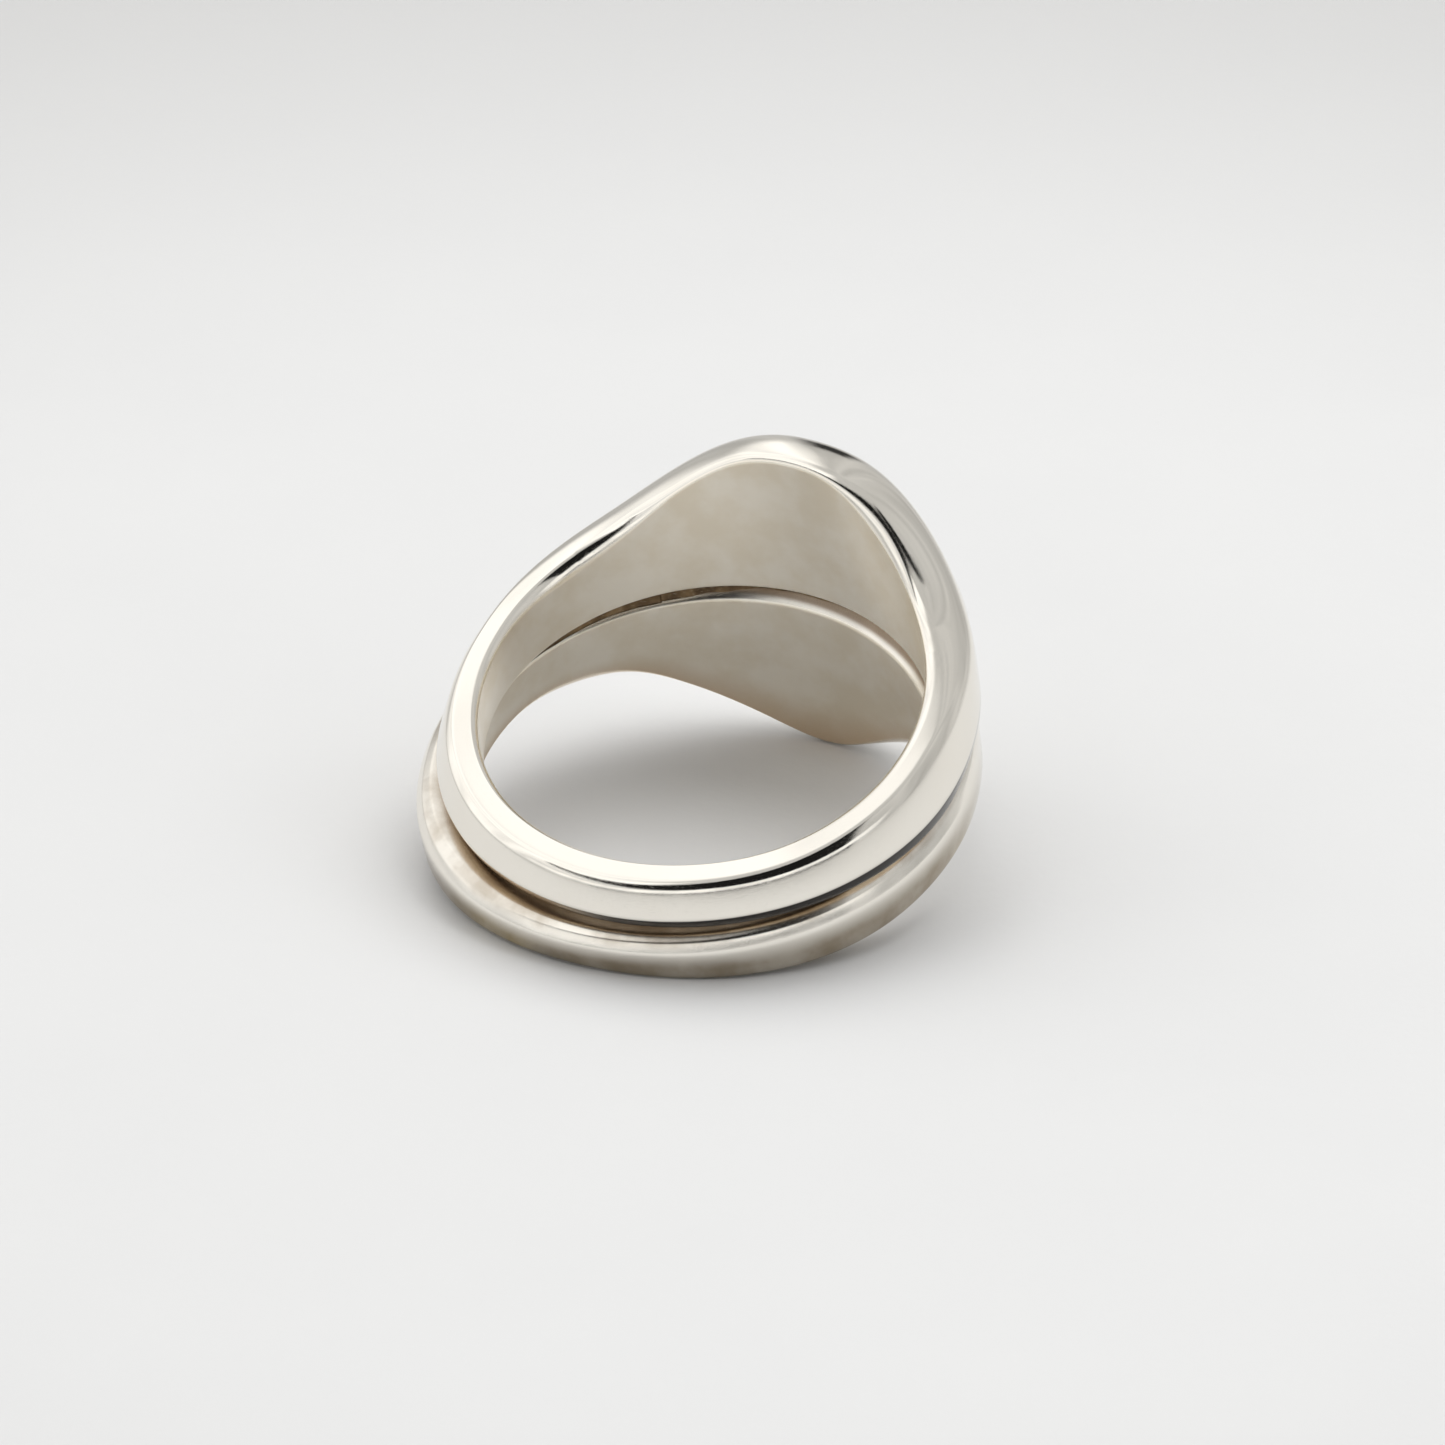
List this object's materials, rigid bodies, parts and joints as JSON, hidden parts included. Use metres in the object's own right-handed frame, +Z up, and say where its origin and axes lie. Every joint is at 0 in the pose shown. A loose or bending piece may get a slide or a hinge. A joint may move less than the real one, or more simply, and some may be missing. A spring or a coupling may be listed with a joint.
{
  "type": "signet ring",
  "caption": "Double signet ring in polished silver: two half-signet rings soldered together at the head, with a plain oval table and a shank that splits into two bands at the back.",
  "frame": {"origin": "bottom centre of the bounding box, on the surface the ring lies on", "axes": "+Z up, square to the surface the ring lies on, +X from the back of the shank towards the signet table, +Y to the left of the table as its wearer sees it. The bore axis leans back from +Z, away from the table, by about 18 degrees."},
  "size_m": [0.0228, 0.0216, 0.0147],
  "materials": {
    "silver": "polished sterling silver with fine scratches, satin inside the bores, and brown tarnish in the seams",
    "solder": "silver solder, satin, with a brown to orange tarnish"
  },
  "bodies": {
    "root": {"upper_ring": "silver", "lower_ring": "silver", "head_solder": "solder", "left_shoulder_solder": "solder", "right_shoulder_solder": "solder"}
  },
  "joints": []
}
